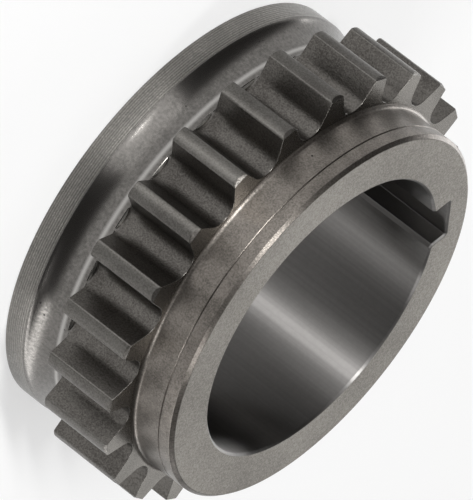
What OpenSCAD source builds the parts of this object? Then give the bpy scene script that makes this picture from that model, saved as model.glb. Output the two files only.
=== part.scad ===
// Crankshaft sprocket for an inverted-tooth timing chain, one piece of steel.
// It stands on the rear face of its flange. The bore runs along +Z and the hub nose is on top.
// The origin is the centre of the rear face, and the keyway lies towards +Y.

/* [Whole sprocket] */

// Length from the rear face to the face of the hub nose
total_len = 23.9; // [23:0.1:26]

/* [Bore and keyway] */

// Diameter of the bore
bore_d = 38; // [34:0.5:41]
// Bevel round both ends of the bore
bore_bevel = 0.23; // [0.1:0.01:0.6]
// Width of the keyway
key_w = 6; // [4:0.1:9]
// Depth of the keyway's floor below the wall of the bore
key_deep = 2.4; // [1.5:0.1:3.2]
// Width of the bevel along both edges of the keyway's mouth
key_bevel = 0.35; // [0.1:0.05:0.8]

/* [Hub nose] */

// Diameter of the hub nose
hub_d = 50.3; // [48:0.1:50.5]
// How far the nose stands in front of the teeth
hub_stand = 5.9; // [4:0.1:7]
// Bevel round the front of the nose
hub_bevel = 0.42; // [0.1:0.02:0.9]
// Concave rounding where the nose meets the teeth
foot_round = 0.5; // [0.2:0.05:0.6]
// Distance of the fine turned groove from the front face
groove_at = 2.05; // [1:0.05:3]
// Width of that groove
groove_w = 0.22; // [0.1:0.02:0.5]

/* [Teeth] */

// Number of teeth
teeth = 23; // [19:1:25]
// Diameter over the tooth tips
tip_d = 59.6; // [58:0.1:61]
// Diameter at the bottom of the round tooth gaps
root_d = 51.8; // [51.5:0.02:52.4]
// Length of the teeth along the bore
tooth_len = 9.75; // [8:0.05:11]
// Width of a tooth at the tip circle
tip_width = 1.98; // [1.5:0.02:2.4]
// Radius of the low crown along each tooth tip
crown_r = 2.8; // [2.4:0.1:6]
// Angle between a flank and the middle line of its gap
flank_lean = 25; // [20:0.5:27]
// How far the gaps run on past the rear ends of the teeth, into the neck
gap_past = 0.3; // [0.1:0.05:0.45]
// Height of the turned bevel at the front end of the tips
tip_bevel_down = 0.25; // [0.1:0.01:0.5]
// Length of that bevel along the tips
tip_bevel_back = 0.45; // [0.2:0.01:0.9]

/* [Neck and flange] */

// Diameter of the neck behind the teeth
neck_d = 53.1; // [52.6:0.1:54]
// Length of the straight part of the neck
neck_len = 1.2; // [1.1:0.1:2.5]
// Concave rounding between the neck and the rear ends of the teeth
neck_round = 0.5; // [0.3:0.05:0.5]
// Diameter of the flange
flange_d = 55.4; // [54.6:0.1:57]
// Length of the flange's straight rim
rim_len = 3; // [2:0.1:5]
// Bevel round the rear edge of the rim
rim_bevel = 0.15; // [0.05:0.05:0.8]

/* [Hidden] */

$fn = 120;
// Extra length by which a cutting shape passes the face that it cuts
over = 1;

bore_r = bore_d / 2;
hub_r = hub_d / 2;
tip_r = tip_d / 2;
// The teeth are cut from a rim that is a little wider than the tips, and then crowned
stock_r = tip_r + 0.2;
root_r = root_d / 2;
neck_r = neck_d / 2;
flange_r = flange_d / 2;

// Heights of the turned steps, from the rear face up
tooth_top = total_len - hub_stand;
groove_z = total_len - groove_at;
tooth_base = tooth_top - tooth_len;
flare_top = tooth_base - neck_len;

// The flare is one arc, tangent to the neck, that ends on the edge of the rim
flare_rise = flange_r - neck_r;
flare_len = flare_top - rim_len;
flare_r = (pow(flare_len, 2) + pow(flare_rise, 2)) / (2 * flare_rise);

// Slope of the turned bevel of the tips, from the front edge back to the stock
bevel_len = tip_bevel_back * (stock_r - tip_r + tip_bevel_down) / tip_bevel_down;

// Half of a gap's opening at the tip circle, as an angle and as a point on a flank
pitch_angle = 360 / teeth;
gap_half_angle = pitch_angle / 2 - asin(tip_width / tip_d);
mouth_x = tip_r * cos(gap_half_angle);
mouth_y = tip_r * sin(gap_half_angle);

// The round root touches both flanks and the root circle
floor_half = mouth_y - (mouth_x - root_r) * tan(flank_lean);
gap_root_r = floor_half * cos(flank_lean) / (1 - sin(flank_lean));
// How far the inner ends of the flanks lie inside that round, so that the two always cross
root_lap = 0.002;

// Distance from the axis at which the keyway's side walls meet the bore
key_mouth = sqrt(pow(bore_r, 2) - pow(key_w / 2, 2));

// Profile of the turned blank, from the middle line outwards
module blank_profile() {
    difference() {
        polygon([
            [0, 0],
            [flange_r - rim_bevel, 0],
            [flange_r, rim_bevel],
            [flange_r, rim_len],
            [neck_r, flare_top],
            [neck_r, tooth_base - neck_round],
            [neck_r + neck_round, tooth_base],
            [stock_r, tooth_base],
            [stock_r, tooth_top - bevel_len],
            [tip_r - tip_bevel_down, tooth_top],
            [hub_r + foot_round, tooth_top],
            [hub_r, tooth_top + foot_round],
            [hub_r, groove_z - groove_w / 2],
            [hub_r - groove_w / 2, groove_z],
            [hub_r, groove_z + groove_w / 2],
            [hub_r, total_len - hub_bevel],
            [hub_r - hub_bevel, total_len],
            [0, total_len]
        ]);
        flare_disc();
        translate([neck_r + neck_round, tooth_base - neck_round])
            circle(r = neck_round);
        translate([hub_r + foot_round, tooth_top + foot_round])
            circle(r = foot_round);
    }
}

// Lower half of the disc that hollows the flare
module flare_disc() {
    translate([neck_r + flare_r, flare_top])
        difference() {
            circle(r = flare_r);
            translate([-flare_r - over, 0])
                square([2 * (flare_r + over), flare_r + over]);
        }
}

// Profile of one tooth gap, opening along +X: two straight flanks and a round root
module gap_profile() {
    root_end_x = root_r + gap_root_r - (gap_root_r - root_lap) * sin(flank_lean);
    root_end_y = (gap_root_r - root_lap) * cos(flank_lean);
    outer_x = mouth_x + 2 * over * cos(flank_lean);
    outer_y = mouth_y + 2 * over * sin(flank_lean);
    polygon([
        [root_end_x, -root_end_y],
        [outer_x, -outer_y],
        [outer_x, outer_y],
        [root_end_x, root_end_y]
    ]);
    translate([root_r + gap_root_r, 0])
        circle(r = gap_root_r);
}

// The gaps between the teeth. Each ends in a small crescent wall in the neck, which is higher than the root
module gaps() {
    for (i = [0 : teeth - 1])
        rotate([0, 0, 90 + (i + 0.5) * pitch_angle])
            translate([0, 0, tooth_base - gap_past])
                linear_extrude(gap_past + tooth_len + over)
                    gap_profile();
}

// What is cut off round the crown of one tip, with the tooth along +X
module crown_profile() {
    difference() {
        translate([tip_r - crown_r / 2, -tip_width])
            square([crown_r / 2 + 2 * over, 2 * tip_width]);
        translate([tip_r - crown_r, 0])
            circle(r = crown_r);
    }
}

// The cuts that crown the tips along their whole length
module crowns() {
    for (i = [0 : teeth - 1])
        rotate([0, 0, 90 + i * pitch_angle])
            translate([0, 0, tooth_base - over])
                linear_extrude(tooth_len + 2 * over)
                    crown_profile();
}

// The bore with a bevel at each end
module bore() {
    translate([0, 0, -over])
        cylinder(r = bore_r, h = total_len + 2 * over);
    translate([0, 0, -over])
        cylinder(r1 = bore_r + bore_bevel + over, r2 = bore_r, h = bore_bevel + over);
    translate([0, 0, total_len - bore_bevel])
        cylinder(r1 = bore_r, r2 = bore_r + bore_bevel + over, h = bore_bevel + over);
}

// The keyway in the bore towards +Y, right through, with bevelled edges
module keyway() {
    translate([0, 0, -over])
        linear_extrude(total_len + 2 * over)
            polygon([
                [-key_w / 2 - key_bevel - over, key_mouth - over],
                [key_w / 2 + key_bevel + over, key_mouth - over],
                [key_w / 2, key_mouth + key_bevel],
                [key_w / 2, bore_r + key_deep],
                [-key_w / 2, bore_r + key_deep],
                [-key_w / 2, key_mouth + key_bevel]
            ]);
}

// The whole sprocket
module sprocket() {
    color([0.56, 0.55, 0.52])
        difference() {
            rotate_extrude()
                blank_profile();
            gaps();
            crowns();
            bore();
            keyway();
        }
}

sprocket();
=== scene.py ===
"""Crankshaft sprocket: the turned and hobbed steel body with its finishes, on a pale studio floor."""
import math

import bmesh
import bpy
from mathutils import Matrix, Vector


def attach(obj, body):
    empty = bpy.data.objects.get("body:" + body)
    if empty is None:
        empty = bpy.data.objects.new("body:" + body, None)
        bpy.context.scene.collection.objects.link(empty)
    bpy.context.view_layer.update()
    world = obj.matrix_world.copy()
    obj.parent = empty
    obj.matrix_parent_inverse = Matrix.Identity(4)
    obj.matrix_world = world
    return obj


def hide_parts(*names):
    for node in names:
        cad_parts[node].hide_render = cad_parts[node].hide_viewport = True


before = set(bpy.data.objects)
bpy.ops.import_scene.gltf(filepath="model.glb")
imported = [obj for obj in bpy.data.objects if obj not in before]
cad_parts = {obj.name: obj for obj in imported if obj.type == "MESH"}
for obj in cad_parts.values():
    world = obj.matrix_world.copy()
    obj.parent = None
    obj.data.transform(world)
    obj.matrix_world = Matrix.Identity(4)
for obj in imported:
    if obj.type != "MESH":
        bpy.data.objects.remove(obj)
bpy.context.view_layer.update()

# The same sizes as in the part's source, in millimetres: first the length along the axis
TOTAL_LEN = 23.9

# Bore, and keyway with the bevels along its mouth
BORE_R = 19.0
BORE_BEVEL = 0.23
KEY_W = 6.0
KEY_DEEP = 2.4
KEY_BEVEL = 0.35

# Hub nose: how far it stands before the teeth, the rounding at its foot, and its fine groove from the front
HUB_R = 25.15
HUB_STAND = 5.9
HUB_BEVEL = 0.42
FOOT_ROUND = 0.5
GROOVE_AT = 2.05
GROOVE_W = 0.22

# Teeth: how far the gaps run past them into the neck, and the turned bevel at the front of the tips
TEETH = 23
TIP_R = 29.8
ROOT_R = 25.9
TOOTH_LEN = 9.75
TIP_WIDTH = 1.98
CROWN_R = 2.8
FLANK_LEAN = math.radians(25)
GAP_PAST = 0.3
TIP_BEVEL_DOWN = 0.25
TIP_BEVEL_BACK = 0.45

# Neck with its rounding up to the teeth, and flange with its straight rim
NECK_R = 26.55
NECK_LEN = 1.2
NECK_ROUND = 0.5
FLANGE_R = 27.7
RIM_LEN = 3.0
RIM_BEVEL = 0.15

# Radius of the rounding along both edges of a tip, and in the corners of the keyway's floor
CORNER_R = 0.3
KEY_CORNER_R = 0.15
# Width of the soft edges of the teeth, the rim and the gaps' ends
EDGE = 0.08
# Width of the soft edges at the keyway's mouth, and at the bevels of the hub nose and the bore
KEY_LIP = 0.06
HUB_EDGE = 0.024
BORE_EDGE = 0.04

# Faces that turn by more than this meet in a sharp edge
SHARP_ANGLE = math.radians(24)
# Corners that lie closer together than this become one
WELD = 0.0005
# How far below the tip circle a tooth still has the finish of its tip
LAND_DEPTH = 0.4

# Heights from the rear face up
TOOTH_TOP = TOTAL_LEN - HUB_STAND
TOOTH_BASE = TOOTH_TOP - TOOTH_LEN
FLARE_TOP = TOOTH_BASE - NECK_LEN
GAP_END = TOOTH_BASE - GAP_PAST

# Angle from tooth to tooth, and a quarter of a turn
PITCH = 2 * math.pi / TEETH
QUARTER = math.pi / 2

# Material slots of the body, in this order
DRUM, TURNED, HOBBED, RUNOUT, LAND, SIDE, HUB, FACE, BORED = range(9)

# Spacing of the lines that the tools left, in millimetres
RIM_LINE = 0.3
BORE_LINE = 0.5
# Half the height of the painted highlight, a lighter ring painted round the foot of the flare, in
# millimetres
PAINTED_HIGHLIGHT_HALF = 0.5

# Small pits from handling: azimuth from +X in degrees, then height and radius in millimetres
FLARE_PITS = [
    (147.1, 4.25, 0.13),
    (161.8, 4.35, 0.11),
    (163.0, 4.3, 0.13),
    (191.5, 5.25, 0.12),
    (249.8, 4.15, 0.11),
    (251.1, 3.7, 0.11),
    (254.2, 3.75, 0.16),
    (257.3, 4.5, 0.17),
    (258.0, 7.4, 0.12),
    (273.1, 4.05, 0.1),
]
HUB_PITS = [(179.2, 19.6, 0.17)]


def direction(angle):
    """Unit vector in the plane at an angle from +X."""
    return Vector((math.cos(angle), math.sin(angle)))


def arc(centre, radius, start, end, steps):
    """Points along an arc, both ends included, each with its direction away from the centre."""
    angles = [start + (end - start) * i / steps for i in range(steps + 1)]
    return [(centre + radius * direction(a), direction(a)) for a in angles]


def circle(rays, radius):
    """A point on each ray, all at one radius."""
    return [radius * ray for ray in rays]


def within(outline, radius):
    """The points of an outline, drawn in to a radius where they lie beyond it."""
    return [p if p.length < radius else radius * p.normalized() for p, way in outline]


def flare_arc():
    """Radius of the flare's concave arc, and the angle that it turns through between neck and rim."""
    rise = FLANGE_R - NECK_R
    length = FLARE_TOP - RIM_LEN
    radius = (length ** 2 + rise ** 2) / (2 * rise)
    return radius, math.asin(length / radius)


def surface_at(z):
    """Radius of the flare, the neck or the hub nose, at a height."""
    if z > TOOTH_TOP:
        return HUB_R
    arc_r = flare_arc()[0]
    turn = math.asin(max(0.0, FLARE_TOP - z) / arc_r)
    return NECK_R + arc_r * (1 - math.cos(turn))


def neck_at(z):
    """Radius of the neck and its rounding up to the teeth, at a height."""
    rise = max(0.0, z - (TOOTH_BASE - NECK_ROUND))
    return NECK_R + NECK_ROUND - math.sqrt(max(0.0, NECK_ROUND ** 2 - rise ** 2))


def half_gap():
    """From the bottom of a gap to the middle of the next tip, each point with the way out of the steel.

    The gap opens along +X, and the tooth lies towards +Y.
    """
    mouth = TIP_R * direction(PITCH / 2 - math.asin(TIP_WIDTH / 2 / TIP_R))
    along = direction(FLANK_LEAN)
    away = Vector((along.y, -along.x))

    # The round root touches both flanks, and has a corner where the neck's wall meets it
    floor_half = mouth.y - (mouth.x - ROOT_R) * math.tan(FLANK_LEAN)
    root_round = floor_half * math.cos(FLANK_LEAN) / (1 - math.sin(FLANK_LEAN))
    root_mid = Vector((ROOT_R + root_round, 0))
    wall_r = neck_at(GAP_END)
    wall_cosine = (wall_r ** 2 - root_mid.x ** 2 - root_round ** 2) / (2 * root_mid.x * root_round)
    wall_turn = math.acos(wall_cosine)
    root = arc(root_mid, root_round, math.pi, wall_turn, steps=8)
    root += arc(root_mid, root_round, wall_turn, QUARTER + FLANK_LEAN, steps=5)[1:]
    points = [(p, -out) for p, out in root]

    # The rounding of the tip's edge touches the flank, and the crown from inside
    crown_mid = (TIP_R - CROWN_R) * direction(PITCH / 2)
    offset = mouth - CORNER_R * away - crown_mid
    ahead = offset.dot(along)
    reach = math.sqrt(ahead ** 2 - offset.length_squared + (CROWN_R - CORNER_R) ** 2) - ahead
    to_corner = offset + reach * along
    corner_mid = crown_mid + to_corner
    crown_turn = math.atan2(to_corner.y, to_corner.x)

    flank_start = points[-1][0]
    flank_end = corner_mid + CORNER_R * away
    points += [(flank_start.lerp(flank_end, share), away) for share in (0.35, 0.7)]
    points += arc(corner_mid, CORNER_R, math.atan2(away.y, away.x), crown_turn, steps=4)
    points += arc(crown_mid, CROWN_R, crown_turn, PITCH / 2, steps=5)[1:]
    return points


def tooth_outline():
    """The closed outline of the toothed ring, as points with their way out of the steel."""
    half = half_gap()
    mirrored = [(Vector((p.x, -p.y)), Vector((way.x, -way.y))) for p, way in half[1:-1]]
    gap = list(reversed(mirrored)) + half
    outline = []
    for i in range(TEETH):
        turn = Matrix.Rotation(QUARTER + (i + 0.5) * PITCH, 2)
        outline += [(turn @ p, turn @ way) for p, way in gap]
    return outline


def bore_outline():
    """The closed outline of the bore with its keyway, as points with their way out of the steel.

    The right half runs from the side across the keyway round to the middle of the keyway's floor.
    """
    half_w = KEY_W / 2
    floor_y = BORE_R + KEY_DEEP
    mouth_y = math.sqrt(BORE_R ** 2 - half_w ** 2) + KEY_BEVEL
    lip_half = half_w + KEY_BEVEL
    lip_turn = math.atan2(math.sqrt(BORE_R ** 2 - lip_half ** 2), lip_half)
    slope = Vector((-1, -1)).normalized()
    inwards = Vector((-1, 0))
    down = Vector((0, -1))

    wall = arc(Vector((0, 0)), BORE_R, -QUARTER, lip_turn, steps=150)[1:]
    right = [(p, -out) for p, out in wall]
    right.append((Vector((half_w + KEY_LIP, mouth_y - KEY_LIP)), slope))
    right.append((Vector((half_w, mouth_y + KEY_LIP / 2)), inwards))
    for share in (0.25, 0.5, 0.75):
        right.append((Vector((half_w, mouth_y + (floor_y - mouth_y) * share)), inwards))
    corner_mid = Vector((half_w - KEY_CORNER_R, floor_y - KEY_CORNER_R))
    corner = arc(corner_mid, KEY_CORNER_R, 0, QUARTER, steps=3)
    right += [(p, -out) for p, out in corner]
    right += [(Vector((half_w * share, floor_y)), down) for share in (0.7, 0.35)]

    left = [(Vector((-p.x, p.y)), Vector((-way.x, way.y))) for p, way in reversed(right)]
    return right + [(Vector((0, floor_y)), down)] + left + [(Vector((0, -BORE_R)), -down)]


def bevelled(point, z):
    """Moves a point of a tooth tip inwards to where the turned bevel at the front of the tips cuts it."""
    limit = TIP_R - (z - TOOTH_TOP + TIP_BEVEL_BACK) * TIP_BEVEL_DOWN / TIP_BEVEL_BACK
    return point * min(1, limit / point.length)


class Body:
    """A closed mesh that grows ring by ring, in millimetres."""

    def __init__(self):
        self.mesh = bmesh.new()
        self.last = None

    def start(self, points, z):
        """Begins a wall with a ring of corners at one height."""
        self.last = [self.mesh.verts.new((p.x, p.y, z)) for p in points]
        return self.last

    def add(self, points, z, finish):
        """Adds a ring of corners, and the band of faces from the last ring to it."""
        before = self.last
        ring = self.start(points, z)
        for i in range(len(ring)):
            j = (i + 1) % len(ring)
            face = self.mesh.faces.new((before[i], before[j], ring[j], ring[i]))
            face.material_index = finish
        return ring

    def fill(self, outer, inner, up, finish):
        """Fills the flat ring between two closed loops of corners."""
        edges = []
        for loop in (outer, inner):
            for i, corner in enumerate(loop):
                other = loop[(i + 1) % len(loop)]
                edge = self.mesh.edges.get((corner, other))
                edges.append(edge or self.mesh.edges.new((corner, other)))
        made = bmesh.ops.triangle_fill(self.mesh, use_beauty=True, edges=edges, normal=(0, 0, up))
        for item in made["geom"]:
            if isinstance(item, bmesh.types.BMFace):
                item.material_index = finish


def add_flange(body, rays):
    """The flange's rear bevel, its rim and its flare, up to the neck. Returns the rear edge."""
    rear_edge = body.start(circle(rays, FLANGE_R - RIM_BEVEL), 0)
    body.add(circle(rays, FLANGE_R), RIM_BEVEL, TURNED)
    body.add(circle(rays, FLANGE_R), RIM_LEN / 2, DRUM)
    body.add(circle(rays, FLANGE_R), RIM_LEN - EDGE, DRUM)

    # The arc starts a little above the rim, which leaves a soft edge between them
    arc_r, full_turn = flare_arc()
    first_turn = 0.98 * full_turn
    steps = 12
    for i in range(steps + 1):
        turn = first_turn * (1 - i / steps)
        radius = NECK_R + arc_r * (1 - math.cos(turn))
        body.add(circle(rays, radius), FLARE_TOP - arc_r * math.sin(turn), TURNED)
    return rear_edge


def add_neck(body, rays, outline):
    """The neck with its rounding, and the crescent walls in it where the tooth gaps run out."""
    body.add(circle(rays, NECK_R), TOOTH_BASE - NECK_ROUND, TURNED)
    body.add(circle(rays, neck_at(GAP_END - EDGE)), GAP_END - EDGE, TURNED)

    # In the gaps the neck ends in a soft edge, and a flat crescent leads from there in to the root
    wall_r = neck_at(GAP_END)
    soft_edge = [min(wall_r, max(p.length, wall_r - EDGE)) for p, way in outline]
    body.add([radius * ray for radius, ray in zip(soft_edge, rays)], GAP_END, TURNED)
    body.add(within(outline, wall_r), GAP_END, RUNOUT)

    # The rounding gets steep towards the teeth, so its rings lie closer there
    for drop in (0.2, 0.12, 0.06, 0.02, 0):
        z = TOOTH_BASE - drop
        body.add(within(outline, neck_at(z)), z, TURNED)


def add_teeth(body, outline):
    """The ring of teeth, from their rear ends up to the turned bevel and the front ends."""
    # The soft rear edge grows to its full width over this height above the neck
    fade = 0.3
    rear_r = neck_at(TOOTH_BASE)
    inset = [EDGE * max(0.0, min(1.0, (p.length - rear_r) / fade)) for p, way in outline]
    body.add([p - way * by for (p, way), by in zip(outline, inset)], TOOTH_BASE, SIDE)

    full = [p for p, way in outline]
    flank_from = TOOTH_BASE + EDGE
    bevel_from = TOOTH_TOP - TIP_BEVEL_BACK
    for share in (0, 0.33, 0.67, 1):
        body.add(full, flank_from + (bevel_from - flank_from) * share, HOBBED)

    steps = 7
    for i in range(1, steps + 1):
        z = bevel_from + (TIP_BEVEL_BACK - EDGE / 2) * i / steps
        body.add([bevelled(p, z) for p in full], z, HOBBED)
    body.add([bevelled(p - way * EDGE / 2, TOOTH_TOP) for p, way in outline], TOOTH_TOP, LAND)


def add_hub(body, rays):
    """The front ends of the teeth and the hub nose up to its bevel. Returns the front edge."""
    foot_r = HUB_R + FOOT_ROUND
    body.add(circle(rays, foot_r), TOOTH_TOP, SIDE)
    steps = 6
    for i in range(1, steps + 1):
        turn = QUARTER * i / steps
        radius = foot_r - FOOT_ROUND * math.sin(turn)
        body.add(circle(rays, radius), TOOTH_TOP + FOOT_ROUND * (1 - math.cos(turn)), HUB)

    # A ring some way below the groove keeps the faces beside it short, so that they shade evenly
    groove_z = TOTAL_LEN - GROOVE_AT
    ring_below = 1.4
    body.add(circle(rays, HUB_R), groove_z - ring_below, HUB)
    body.add(circle(rays, HUB_R), groove_z - GROOVE_W / 2, HUB)
    body.add(circle(rays, HUB_R - GROOVE_W / 2), groove_z, HUB)
    body.add(circle(rays, HUB_R), groove_z + GROOVE_W / 2, HUB)

    body.add(circle(rays, HUB_R), TOTAL_LEN - HUB_BEVEL - EDGE, HUB)
    body.add(circle(rays, HUB_R - HUB_EDGE), TOTAL_LEN - HUB_BEVEL, HUB)
    body.add(circle(rays, HUB_R - HUB_BEVEL), TOTAL_LEN - HUB_EDGE, HUB)
    return body.add(circle(rays, HUB_R - HUB_BEVEL - EDGE), TOTAL_LEN, HUB)


def add_bore(body):
    """The bore with its keyway, from the front face down to the rear face. Returns its two edges."""
    outline = bore_outline()

    def grown(by):
        return [p - way * by for p, way in outline]

    half_edge = BORE_EDGE / 2
    front_edge = body.start(grown(BORE_BEVEL + BORE_EDGE), TOTAL_LEN)
    body.add(grown(BORE_BEVEL), TOTAL_LEN - half_edge, BORED)
    body.add(grown(half_edge), TOTAL_LEN - BORE_BEVEL, BORED)
    body.add(grown(0), TOTAL_LEN - BORE_BEVEL - BORE_EDGE, BORED)
    for share in (0.75, 0.5, 0.25):
        body.add(grown(0), TOTAL_LEN * share, BORED)
    body.add(grown(0), BORE_BEVEL, BORED)
    rear_edge = body.add(grown(BORE_BEVEL), 0, BORED)
    return front_edge, rear_edge


def soften(mesh):
    """Welds the mesh, gives the tips their own finish, and shades it smooth except at the sharp edges."""
    bmesh.ops.remove_doubles(mesh, verts=mesh.verts, dist=WELD)
    bmesh.ops.dissolve_degenerate(mesh, edges=mesh.edges, dist=WELD)
    bmesh.ops.recalc_face_normals(mesh, faces=mesh.faces)
    for face in mesh.faces:
        face.smooth = True
        at_tip = face.calc_center_median().xy.length > TIP_R - LAND_DEPTH
        upright = face.normal.z < 0.2
        if face.material_index == HOBBED and at_tip and upright:
            face.material_index = LAND
    for edge in mesh.edges:
        flat_sides = [face.material_index in (SIDE, FACE) for face in edge.link_faces]
        edge.smooth = edge.calc_face_angle(0) < SHARP_ANGLE and sum(flat_sides) != 1


def make_sprocket():
    """The whole steel body as one closed mesh."""
    outline = tooth_outline()
    rays = [p.normalized() for p, way in outline]
    body = Body()
    rear_edge = add_flange(body, rays)
    add_neck(body, rays, outline)
    add_teeth(body, outline)
    front_edge = add_hub(body, rays)
    bore_front, bore_rear = add_bore(body)
    body.fill(front_edge, bore_front, 1, FACE)
    body.fill(rear_edge, bore_rear, -1, FACE)

    mesh = body.mesh
    soften(mesh)
    bmesh.ops.scale(mesh, vec=(0.001, 0.001, 0.001), verts=mesh.verts)
    data = bpy.data.meshes.new("sprocket_body")
    mesh.to_mesh(data)
    mesh.free()
    piece = bpy.data.objects.new("sprocket_body", data)
    bpy.context.scene.collection.objects.link(piece)
    weighted = piece.modifiers.new("even_shading", "WEIGHTED_NORMAL")
    weighted.keep_sharp = True
    weighted.weight = 100
    return piece


def colour(code):
    """Linear colour with alpha from an sRGB hex value."""
    channels = [int(code[i:i + 2], 16) / 255 for i in (0, 2, 4)]
    linear = [c / 12.92 if c <= 0.04045 else ((c + 0.055) / 1.055) ** 2.4 for c in channels]
    return (*linear, 1)


def add(tree, kind, settings=None, **inputs):
    """Adds a node with its settings, and gives its inputs values or links from other nodes' outputs.

    An input goes by its name with _ for a space, or by its number after an i, such as i0 for the first.
    """
    node = tree.nodes.new(kind)
    for name, value in (settings or {}).items():
        setattr(node, name, value)
    for name, value in inputs.items():
        key = int(name[1:]) if name[0] == "i" and name[1:].isdigit() else name.replace("_", " ")
        if isinstance(value, bpy.types.NodeSocket):
            tree.links.new(value, node.inputs[key])
        else:
            node.inputs[key].default_value = value
    return node


def new_material(name):
    """A material without nodes, and its tree."""
    material = bpy.data.materials.new(name)
    material.use_nodes = True
    material.node_tree.nodes.clear()
    return material, material.node_tree


def ring_lines(tree, place):
    """Turning lines round the axis, which rise from 0 to 1 and fall back once in each step of the tool."""
    height = add(tree, "ShaderNodeSeparateXYZ", Vector=place).outputs[2]
    turns = add(tree, "ShaderNodeMath", {"operation": "MULTIPLY"}, i0=height, i1=2000 / RIM_LINE)
    return add(tree, "ShaderNodeMath", {"operation": "PINGPONG"}, i0=turns.outputs[0], i1=1.0).outputs[0]


def bore_lines(tree, place):
    """Fine drawn lines along the bore, uneven round its wall."""
    split = add(tree, "ShaderNodeSeparateXYZ", Vector=place)
    turn = add(tree, "ShaderNodeMath", {"operation": "ARCTAN2"}, i0=split.outputs[1], i1=split.outputs[0])
    return add(
        tree, "ShaderNodeTexNoise", {"noise_dimensions": "1D"},
        W=turn.outputs[0], Scale=BORE_R / BORE_LINE, Detail=2.0,
    ).outputs[0]


def painted_neck_highlight(tree, place):
    """Mask of the painted highlight: 1 at the foot of the flare, falling softly to 0 above and below it."""
    height = add(tree, "ShaderNodeSeparateXYZ", Vector=place).outputs[2]
    above = add(tree, "ShaderNodeMath", {"operation": "SUBTRACT"}, i0=height, i1=FLARE_TOP / 1000)
    away = add(tree, "ShaderNodeMath", {"operation": "ABSOLUTE"}, i0=above.outputs[0])
    return add(
        tree, "ShaderNodeMapRange", {"interpolation_type": "SMOOTHSTEP"},
        i0=away.outputs[0], i1=PAINTED_HIGHLIGHT_HALF / 1000, i2=0.0,
    ).outputs[0]


def pit_mask(tree, place, pits):
    """1 in the middle of the given pits, falling to 0 at their edges."""
    mask = 0.0
    for azimuth, z, radius in pits:
        middle = Vector((*(surface_at(z) * direction(math.radians(azimuth))), z)) / 1000
        gap = add(tree, "ShaderNodeVectorMath", {"operation": "DISTANCE"}, i0=place, i1=middle)
        near = add(tree, "ShaderNodeMapRange", i0=gap.outputs[1], i1=radius / 1000, i2=0.4 * radius / 1000)
        mask = add(tree, "ShaderNodeMath", {"operation": "MAXIMUM"}, i0=near.outputs[0], i1=mask).outputs[0]
    return mask


def steel(name, tones, rough, grain, bump, blotch=6.0, spread=0.0, lines=None, painted_highlight=None, pits=()):
    """Steel with a finish.

    Tones are its two colours, and rough its least and greatest roughness. Blotches and grain mix them.
    Grain and blotch are the sizes of these in millimetres, and bump is how high the grain stands.
    Spread, from 0 to 1, is how far a highlight is stretched across the tool lines.
    Lines are a pattern of tool lines, their depth in heights of the grain, and how far they darken.
    The painted highlight is a pattern of places painted lighter in place of a highlight, and their tone.
    """
    material, tree = new_material(name)
    place = add(tree, "ShaderNodeTexCoord").outputs["Object"]
    blotches = add(tree, "ShaderNodeTexNoise", Vector=place, Scale=1000 / blotch, Detail=5.0, Roughness=0.6)
    grains = add(tree, "ShaderNodeTexNoise", Vector=place, Scale=1000 / grain, Detail=2.0, Roughness=0.6)
    grain_share = 0.62
    part = add(tree, "ShaderNodeMath", {"operation": "MULTIPLY"}, i0=grains.outputs[0], i1=grain_share)
    both = add(
        tree, "ShaderNodeMath", {"operation": "MULTIPLY_ADD"},
        i0=blotches.outputs[0], i1=1 - grain_share, i2=part.outputs[0],
    ).outputs[0]

    # Both noises together stay mostly between 0.35 and 0.65, which is stretched to the full range
    tone = add(tree, "ShaderNodeMapRange", i0=both, i1=0.38, i2=0.62)
    gloss = add(tree, "ShaderNodeMapRange", i0=both, i1=0.35, i2=0.65, i3=rough[1], i4=rough[0])
    mix = {"data_type": "RGBA"}
    tint = add(tree, "ShaderNodeMix", mix, i0=tone.outputs[0], i6=colour(tones[0]), i7=colour(tones[1]))
    height = grains.outputs[0]
    if lines:
        pattern, depth, shade = lines
        wave = pattern(tree, place)
        height = add(
            tree, "ShaderNodeMath", {"operation": "MULTIPLY_ADD"}, i0=wave, i1=depth, i2=height,
        ).outputs[0]
        dark = add(tree, "ShaderNodeMath", {"operation": "MULTIPLY"}, i0=wave, i1=shade)
        tint = add(tree, "ShaderNodeMix", mix, i0=dark.outputs[0], i6=tint.outputs[2], i7=colour("2c2a28"))
    # Painted highlight: the pattern's places are painted in a lighter tone
    if painted_highlight:
        pattern, highlight_tone = painted_highlight
        light = pattern(tree, place)
        tint = add(tree, "ShaderNodeMix", mix, i0=light, i6=tint.outputs[2], i7=colour(highlight_tone))
    if pits:
        pit = pit_mask(tree, place, pits)
        tint = add(tree, "ShaderNodeMix", mix, i0=pit, i6=tint.outputs[2], i7=colour("1b1918"))

    relief = add(tree, "ShaderNodeBump", Height=height, Distance=bump / 1000, Strength=1.0)
    shader = add(
        tree, "ShaderNodeBsdfPrincipled",
        Base_Color=tint.outputs[2], Metallic=1.0, Roughness=gloss.outputs[0], Normal=relief.outputs[0],
    )
    if spread:
        round_axis = add(tree, "ShaderNodeTangent", {"direction_type": "RADIAL", "axis": "Z"})
        tree.links.new(round_axis.outputs[0], shader.inputs["Tangent"])
        shader.inputs["Anisotropic"].default_value = spread
        shader.inputs["Anisotropic Rotation"].default_value = 0.25
    add(tree, "ShaderNodeOutputMaterial", Surface=shader.outputs[0])
    return material


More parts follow.
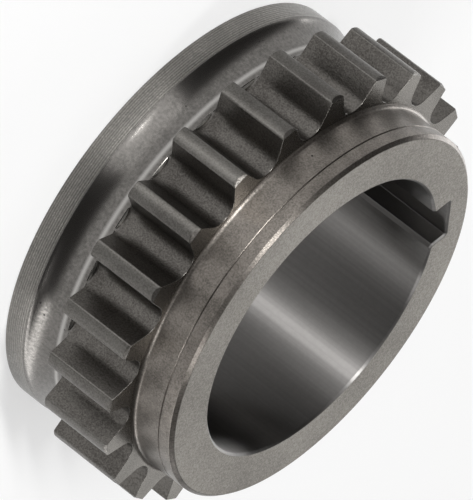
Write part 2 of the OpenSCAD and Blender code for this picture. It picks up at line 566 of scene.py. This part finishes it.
def finishes():
    """The finishes of the carbon steel, in the order of the slots.

    The grain of all of them is really finer than 0.1 mm. It is drawn at 0.2 to 0.5 mm, so that it shows.
    """
    made = {}

    # Rim, turned with a pointed tool: even fine lines round it, at the spacing that the tool left
    made[DRUM] = steel(
        "grooved_rim_steel", ("7a7874", "93908b"), (0.26, 0.32), 0.3, 0.003,
        spread=0.7, lines=(ring_lines, 10.0, 0.5), pits=FLARE_PITS,
    )
    # Flare and neck, turned with a round tool: dark, smooth and softly mirroring. A painted highlight, a
    # lighter tone, rings the foot of the flare
    made[TURNED] = steel(
        "turned_steel", ("605e5b", "767370"), (0.19, 0.26), 0.4, 0.003,
        spread=0.3, painted_highlight=(painted_neck_highlight, "a6a4a1"), pits=FLARE_PITS,
    )
    # Flanks and roots, hobbed and then tumbled: dark, half matt and speckled
    made[HOBBED] = steel("hobbed_steel", ("4a4744", "6e6b67"), (0.28, 0.40), 0.2, 0.028)
    # Crescents where the gaps end in the neck, torn by the edge of the hob: pale and rough
    made[RUNOUT] = steel("sheared_steel", ("8c8a86", "a8a6a2"), (0.6, 0.7), 0.2, 0.02)
    # Tips, ground round the outside: highlights run long, across the marks of the wheel
    made[LAND] = steel("ground_tip_steel", ("585552", "72706c"), (0.36, 0.42), 0.2, 0.006, spread=0.9)
    # Ends of the teeth, ground flat: paler than the flanks, and smooth
    made[SIDE] = steel("ground_side_steel", ("74716c", "908c86"), (0.22, 0.30), 0.2, 0.006)
    # Hub nose, turned and then tumbled: warm satin with small clouds and a fine sparkle
    made[HUB] = steel(
        "satin_hub_steel", ("625e59", "86807a"), (0.34, 0.40), 0.22, 0.018,
        blotch=2.5, spread=0.7, pits=HUB_PITS,
    )
    # Front and rear face, ground flat: pale, even and half matt
    made[FACE] = steel("ground_face_steel", ("86827c", "aca8a1"), (0.36, 0.48), 0.2, 0.008, blotch=20.0)
    # Bore and keyway, drawn to size with a broach: broad streaks of light along the wall.
    # Its lines are really finer than 0.1 mm, and are drawn wider so that they show
    made[BORED] = steel(
        "bored_steel", ("868482", "8a8886"), (0.42, 0.43), 0.5, 0.0005,
        spread=1.0, lines=(bore_lines, 1.0, 0.25),
    )
    return [made[slot] for slot in range(len(made))]


def make_camera():
    """The camera of the photograph: far off, with a long lens, and rolled.

    Distances are in millimetres. It looks a little past the middle of the sprocket, and left and up
    are those of the picture.
    """
    azimuth, elevation, roll = (math.radians(angle) for angle in (212.58, 23.44, 127.55))
    distance = 1102
    lens = 688.27
    past_left = 1.17
    past_up = 1.15
    level = Vector((-math.sin(azimuth), math.cos(azimuth), 0))
    back = Vector((*(math.cos(elevation) * direction(azimuth)), math.sin(elevation)))
    right = Matrix.Rotation(roll, 3, back) @ level
    up = back.cross(right)
    aim = Vector((0, 0, TOTAL_LEN / 2)) - past_left * right + past_up * up
    turn = Matrix((right, up, back)).transposed()
    data = bpy.data.cameras.new("camera")
    data.lens = lens
    data.sensor_width = 36
    data.clip_start = 0.01
    data.clip_end = 50
    camera = bpy.data.objects.new("camera", data)
    camera.matrix_world = Matrix.Translation((aim + distance * back) / 1000) @ turn.to_4x4()
    bpy.context.scene.collection.objects.link(camera)
    bpy.context.scene.camera = camera


def make_floor():
    """A pale floor that shows nearly white and keeps the sprocket's shadow."""
    half_width = 1.5
    mesh = bmesh.new()
    bmesh.ops.create_grid(mesh, x_segments=1, y_segments=1, size=half_width)
    data = bpy.data.meshes.new("floor")
    mesh.to_mesh(data)
    mesh.free()
    floor = bpy.data.objects.new("floor", data)
    bpy.context.scene.collection.objects.link(floor)

    # Half of what the camera and mirrored rays see is plain white, and the lamps light the other half
    material, tree = new_material("pale_floor")
    matt = add(tree, "ShaderNodeBsdfDiffuse", Color=colour("f4f4f4"))
    white = add(tree, "ShaderNodeEmission", Color=colour("ffffff"), Strength=1.0)
    rays = add(tree, "ShaderNodeLightPath")
    mirrored = add(
        tree, "ShaderNodeMath", {"operation": "MAXIMUM"},
        i0=rays.outputs["Is Glossy Ray"], i1=rays.outputs["Is Transmission Ray"],
    )
    seen = add(
        tree, "ShaderNodeMath", {"operation": "MAXIMUM"},
        i0=rays.outputs["Is Camera Ray"], i1=mirrored.outputs[0],
    )
    share = add(tree, "ShaderNodeMath", {"operation": "MULTIPLY"}, i0=seen.outputs[0], i1=0.5)
    surface = add(tree, "ShaderNodeMixShader", i0=share.outputs[0], i1=matt.outputs[0], i2=white.outputs[0])
    add(tree, "ShaderNodeOutputMaterial", Surface=surface.outputs[0])
    data.materials.append(material)


def make_room():
    """A room that is pale below the horizon and dim above, which gives the steel its dark patches."""
    pale_below = -0.02
    dim_above = 0.09
    world = bpy.data.worlds.new("room")
    bpy.context.scene.world = world
    world.use_nodes = True
    tree = world.node_tree
    tree.nodes.clear()
    way = add(tree, "ShaderNodeTexCoord").outputs["Generated"]
    height = add(tree, "ShaderNodeSeparateXYZ", Vector=way).outputs[2]
    share = add(
        tree, "ShaderNodeMapRange", {"interpolation_type": "SMOOTHSTEP"},
        i0=height, i1=pale_below, i2=dim_above,
    )
    shade = add(
        tree, "ShaderNodeMix", {"data_type": "RGBA"},
        i0=share.outputs[0], i6=colour("f4f4f4"), i7=colour("484746"),
    )
    light = add(tree, "ShaderNodeBackground", Color=shade.outputs[2], Strength=1.0)
    add(tree, "ShaderNodeOutputWorld", Surface=light.outputs[0])


def soft_lamp(name, azimuth, elevation, distance, size, power):
    """A soft lamp that looks at the sprocket from a direction in degrees.

    Its distance, width and height are in metres, and its power is in watts.
    """
    turn = math.radians(azimuth)
    lift = math.radians(elevation)
    way = Vector((*(math.cos(lift) * direction(turn)), math.sin(lift)))
    data = bpy.data.lights.new(name, "AREA")
    data.shape = "RECTANGLE"
    data.size, data.size_y = size
    data.energy = power
    lamp = bpy.data.objects.new(name, data)
    lamp.location = way * distance + Vector((0, 0, TOTAL_LEN / 2000))
    lamp.rotation_mode = "QUATERNION"
    lamp.rotation_quaternion = (-way).to_track_quat("-Z", "Y")
    bpy.context.scene.collection.objects.link(lamp)


def make_lamps():
    """Soft lamps all round. Azimuths count from +X, and the camera looks from about 212 degrees."""
    soft_lamp("top_lamp", 60, 82, 1.2, (0.8, 0.8), 2.7)
    soft_lamp("near_lamp", 192, 50, 1.2, (0.1, 0.7), 9.5)
    soft_lamp("low_lamp", 193, 20, 1.6, (1.3, 1.1), 7.0)
    soft_lamp("side_lamp", 284, 44, 1.3, (0.12, 0.7), 4.0)
    soft_lamp("right_lamp", 322, 6, 1.3, (1.6, 0.25), 5.0)
    soft_lamp("left_lamp", 62, 6, 1.3, (1.1, 0.3), 4.5)
    soft_lamp("far_lamp", 40, 30, 1.3, (0.9, 0.7), 1.8)


sprocket = make_sprocket()
for finish in finishes():
    sprocket.data.materials.append(finish)
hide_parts("sprocket")
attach(sprocket, "root")

make_camera()
make_floor()
make_room()
make_lamps()

scene = bpy.context.scene
scene.view_settings.view_transform = "Standard"
